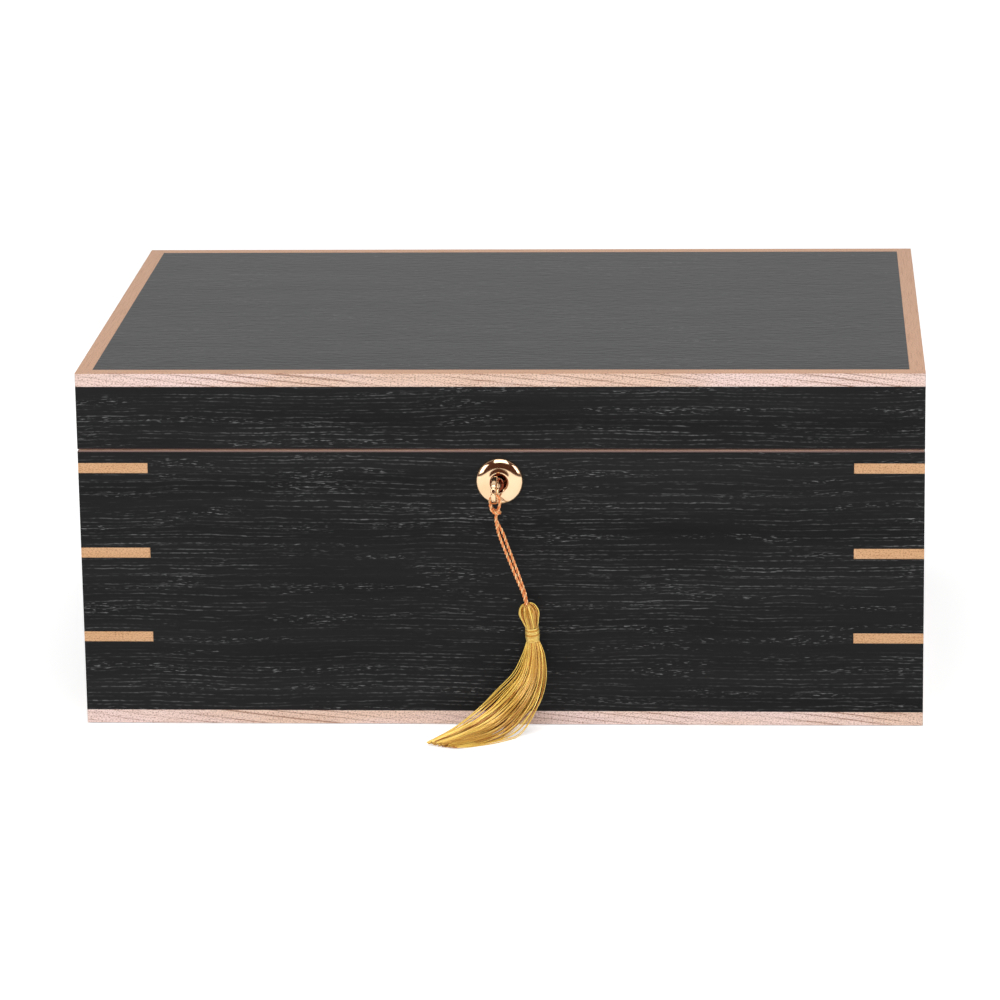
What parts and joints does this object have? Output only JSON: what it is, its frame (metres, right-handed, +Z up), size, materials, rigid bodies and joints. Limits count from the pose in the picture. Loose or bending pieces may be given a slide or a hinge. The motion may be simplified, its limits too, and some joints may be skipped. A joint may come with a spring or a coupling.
{
  "type": "humidor chest",
  "caption": "Lidded wooden chest that keeps cigars moist, with a key lock, a lift-out tray and a lining of cedar.",
  "frame": {"origin": "middle of the underside of the chest, on the surface that it stands on", "axes": "+X along the chest's length to the right, +Y from the front to the back, +Z up"},
  "size_m": [0.35, 0.2883, 0.151],
  "materials": {
    "oak_black": "black stained open-pored oak veneer, satin",
    "maple": "pale maple, satin lacquer",
    "cedar": "bare Spanish cedar",
    "panel_board": "bare fibre board",
    "felt": "black felt",
    "brass": "brushed brass",
    "brass_polished": "polished brass",
    "spring_steel": "blued spring steel",
    "cord": "twisted orange cord",
    "gold_thread": "gold rayon thread",
    "dial_white": "white printed dial",
    "needle_blue": "blued needle",
    "lens_glass": "clear lens",
    "black_plastic": "black moulded plastic",
    "sponge": "green sponge",
    "magnet": "nickel plated magnet"
  },
  "bodies": {
    "base": {"base_front": "oak_black", "base_back": "oak_black", "base_left": "oak_black", "base_right": "oak_black", "base_floor": "panel_board", "plinth_long_strips": "maple", "plinth_short_strips": "maple", "base_banding": "maple", "corner_splines": "maple", "felt_pad": "felt", "lining_front": "cedar", "lining_back": "cedar", "lining_left": "cedar", "lining_right": "cedar", "lining_floor": "cedar", "tray_rests": "cedar", "lock_case": "brass", "lock_selvedge": "brass", "lock_spring": "spring_steel", "lock_screws": "brass", "escutcheon": "brass_polished", "hinge_base_leaves": "brass", "hinge_base_screws": "brass", "hinge_pins": "brass"},
    "lock_drum": {"lock_drum": "brass"},
    "lock_bolt": {"lock_bolt": "brass"},
    "key": {"key": "brass_polished"},
    "tassel": {"tassel_cord": "cord", "tassel_head": "gold_thread", "tassel_binding": "gold_thread", "tassel_fringe": "gold_thread"},
    "lid": {"lid_front": "oak_black", "lid_back": "oak_black", "lid_left": "oak_black", "lid_right": "oak_black", "lid_top": "oak_black", "lid_edge_long_strips": "maple", "lid_edge_short_strips": "maple", "lid_banding": "maple", "lid_lining_top": "cedar", "lid_lining_rails": "cedar", "link_plate": "brass", "link_screws": "brass", "hinge_lid_leaves": "brass", "hinge_lid_screws": "brass", "hygrometer_case": "brass_polished", "hygrometer_dial": "dial_white", "hygrometer_lens": "lens_glass", "humidifier_housing": "black_plastic", "humidifier_grille": "black_plastic", "humidifier_sponge": "sponge", "accessory_magnets": "magnet"},
    "needle": {"hygrometer_needle": "needle_blue"},
    "tray": {"tray_front": "cedar", "tray_back": "cedar", "tray_left": "cedar", "tray_right": "cedar", "tray_slats": "cedar"},
    "tray_divider": {"tray_divider": "cedar"},
    "bottom_divider": {"bottom_divider": "cedar"}
  },
  "joints": [
    {"name": "lid_hinge", "type": "hinge", "parent": "base", "child": "lid", "pos_m": [0, 0.1268, 0.1184], "axis": [-1, 0, 0], "range_deg": [0, 95]},
    {"name": "key_turn", "type": "hinge", "parent": "base", "child": "lock_drum", "pos_m": [0, -0.11225, 0.1053], "axis": [0, 1, 0], "range_deg": [0, 90]},
    {"name": "bolt_slide", "type": "slide", "parent": "base", "child": "lock_bolt", "axis": [1, 0, 0], "range_m": [0, 0.01006]},
    {"name": "key_pull", "type": "slide", "parent": "lock_drum", "child": "key", "axis": [-0.0384, -0.9993, 0], "range_m": [0, 0.024]},
    {"name": "tassel_swing", "type": "hinge", "parent": "key", "child": "tassel", "pos_m": [-0.00103, -0.13898, 0.1007], "axis": [0, 1, 0], "range_deg": [-90, 0]},
    {"name": "needle_turn", "type": "hinge", "parent": "lid", "child": "needle", "pos_m": [-0.095, 0, 0.1375], "axis": [0, 0, 1], "range_deg": [-130, 130]},
    {"name": "tray_lift", "type": "slide", "parent": "base", "child": "tray", "axis": [0, 0, 1], "range_m": [0, 0.011]},
    {"name": "tray_divider_slide", "type": "slide", "parent": "tray", "child": "tray_divider", "axis": [1, 0, 0], "range_m": [-0.144, 0.144]},
    {"name": "bottom_divider_slide", "type": "slide", "parent": "base", "child": "bottom_divider", "axis": [1, 0, 0], "range_m": [-0.151, 0.151]}
  ],
  "couplings": [
    {"joint": "bolt_slide", "follows": "key_turn", "m_per_rad": 0.0063922},
    {"joint": "tassel_swing", "follows": "key_turn", "ratio": -1}
  ]
}
